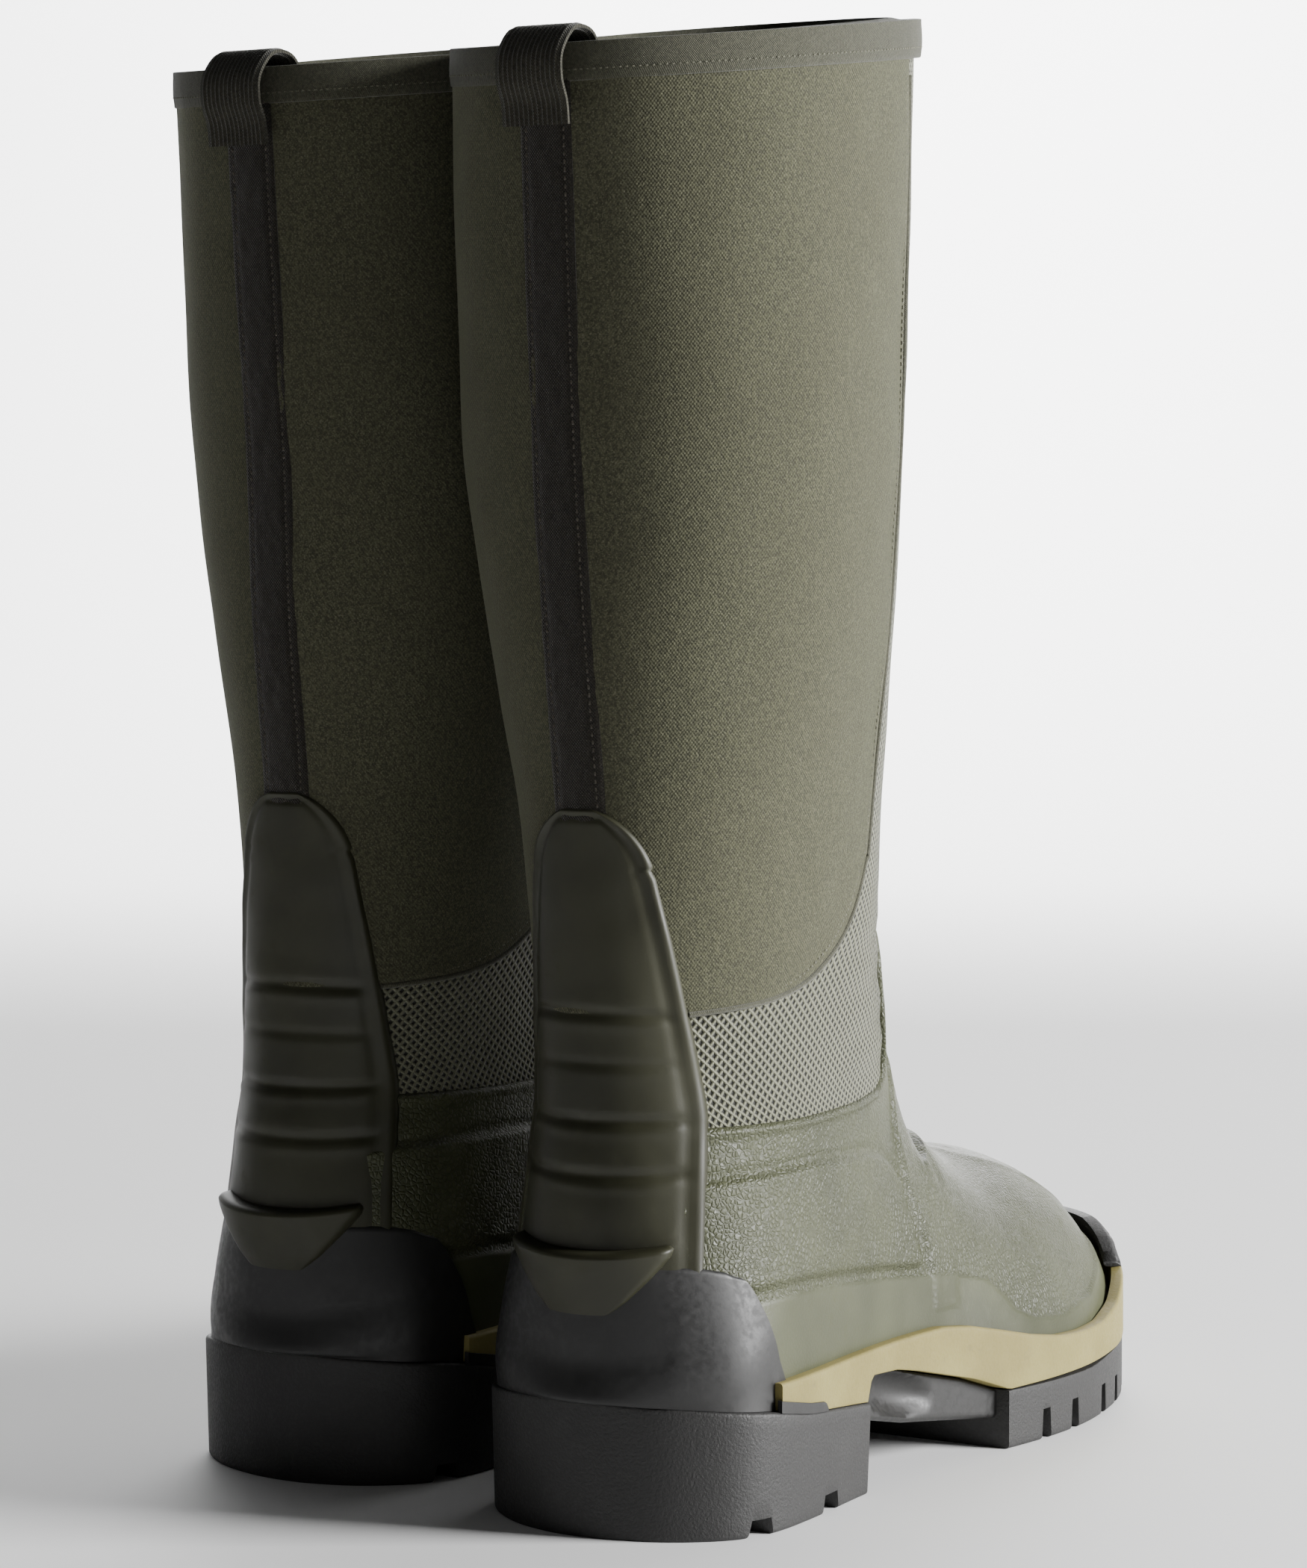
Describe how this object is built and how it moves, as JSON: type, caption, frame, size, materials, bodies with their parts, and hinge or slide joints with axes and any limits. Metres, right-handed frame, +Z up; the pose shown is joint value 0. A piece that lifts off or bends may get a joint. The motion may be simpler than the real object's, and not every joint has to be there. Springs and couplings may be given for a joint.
{
  "type": "insulated hunting boots",
  "caption": "Tall pull-on boots: knitted neoprene shaft, woven ankle band, moulded rubber foot, cleated sole, rear pull loop and kick-off spur.",
  "frame": {"origin": "on the ground, at the middle of the pair's bounding box", "axes": "+Z up, toes point along -Y, the right boot stands on the -X side and the left boot on the +X side"},
  "size_m": [0.2324, 0.3352, 0.4292],
  "materials": {
    "rubber_olive": "satin moulded",
    "rubber_black": "matte moulded",
    "rubber_charcoal": "satin moulded",
    "rubber_tan": "matte moulded",
    "neoprene_olive": "knitted face on neoprene",
    "neoprene_black": "knitted",
    "woven_grey_green": "coarse diagonal weave",
    "fleece_black": "brushed",
    "webbing_brown": "ribbed webbing",
    "binding_olive": "folded tape",
    "fibre_board": "pressed fibre",
    "foam_grey": "covered foam"
  },
  "bodies": {
    "right_foot": {"right_ankle_sleeve": "neoprene_black", "right_ankle_panel": "woven_grey_green", "right_rubber_foot": "rubber_olive", "right_foot_bootie": "neoprene_black", "right_rear_spine_lower": "rubber_olive", "right_heel_counter": "rubber_charcoal", "right_kick_spur": "rubber_olive", "right_instep_strap": "rubber_olive", "right_side_rand": "rubber_olive", "right_quarter_outer": "rubber_olive", "right_quarter_inner": "rubber_olive", "right_heel_block": "rubber_black", "right_arch_bridge": "rubber_charcoal", "right_forefoot_tread": "rubber_black", "right_midsole": "rubber_tan", "right_toe_bumper": "rubber_black", "right_insole_board": "fibre_board"},
    "right_shaft": {"right_shaft": "neoprene_olive", "right_shaft_lining": "fleece_black", "right_shin_panel": "woven_grey_green", "right_back_tape": "webbing_brown", "right_rear_spine_upper": "rubber_olive", "right_top_binding": "binding_olive", "right_pull_loop": "webbing_brown"},
    "right_footbed": {"right_footbed": "foam_grey"},
    "left_foot": {"left_ankle_sleeve": "neoprene_black", "left_ankle_panel": "woven_grey_green", "left_rubber_foot": "rubber_olive", "left_foot_bootie": "neoprene_black", "left_rear_spine_lower": "rubber_olive", "left_heel_counter": "rubber_charcoal", "left_kick_spur": "rubber_olive", "left_instep_strap": "rubber_olive", "left_side_rand": "rubber_olive", "left_quarter_outer": "rubber_olive", "left_quarter_inner": "rubber_olive", "left_heel_block": "rubber_black", "left_arch_bridge": "rubber_charcoal", "left_forefoot_tread": "rubber_black", "left_midsole": "rubber_tan", "left_toe_bumper": "rubber_black", "left_insole_board": "fibre_board"},
    "left_shaft": {"left_shaft": "neoprene_olive", "left_shaft_lining": "fleece_black", "left_shin_panel": "woven_grey_green", "left_back_tape": "webbing_brown", "left_rear_spine_upper": "rubber_olive", "left_top_binding": "binding_olive", "left_pull_loop": "webbing_brown"},
    "left_footbed": {"left_footbed": "foam_grey"}
  },
  "joints": [
    {"name": "left_boot_lift", "type": "slide", "parent": "right_foot", "child": "left_foot", "axis": [0, 0, 1], "range_m": [0, 0.45]},
    {"name": "right_ankle_flex", "type": "hinge", "parent": "right_foot", "child": "right_shaft", "pos_m": [-0.0524, 0.0847, 0.115], "axis": [1, 0, 0], "range_deg": [-8, 12], "stiffness_Nm_per_rad": 10, "deforming": ["right_ankle_sleeve", "right_ankle_panel"]},
    {"name": "right_footbed_lift", "type": "hinge", "parent": "right_foot", "child": "right_footbed", "pos_m": [-0.0524, -0.1193, 0.034], "axis": [1, 0, 0], "range_deg": [0, 6]},
    {"name": "left_ankle_flex", "type": "hinge", "parent": "left_foot", "child": "left_shaft", "pos_m": [0.05284, 0.06974, 0.115], "axis": [0.9994, -0.0349, 0], "range_deg": [-8, 12], "stiffness_Nm_per_rad": 10, "deforming": ["left_ankle_sleeve", "left_ankle_panel"]},
    {"name": "left_footbed_lift", "type": "hinge", "parent": "left_foot", "child": "left_footbed", "pos_m": [0.04572, -0.13414, 0.034], "axis": [0.9994, -0.0349, 0], "range_deg": [0, 6]}
  ]
}
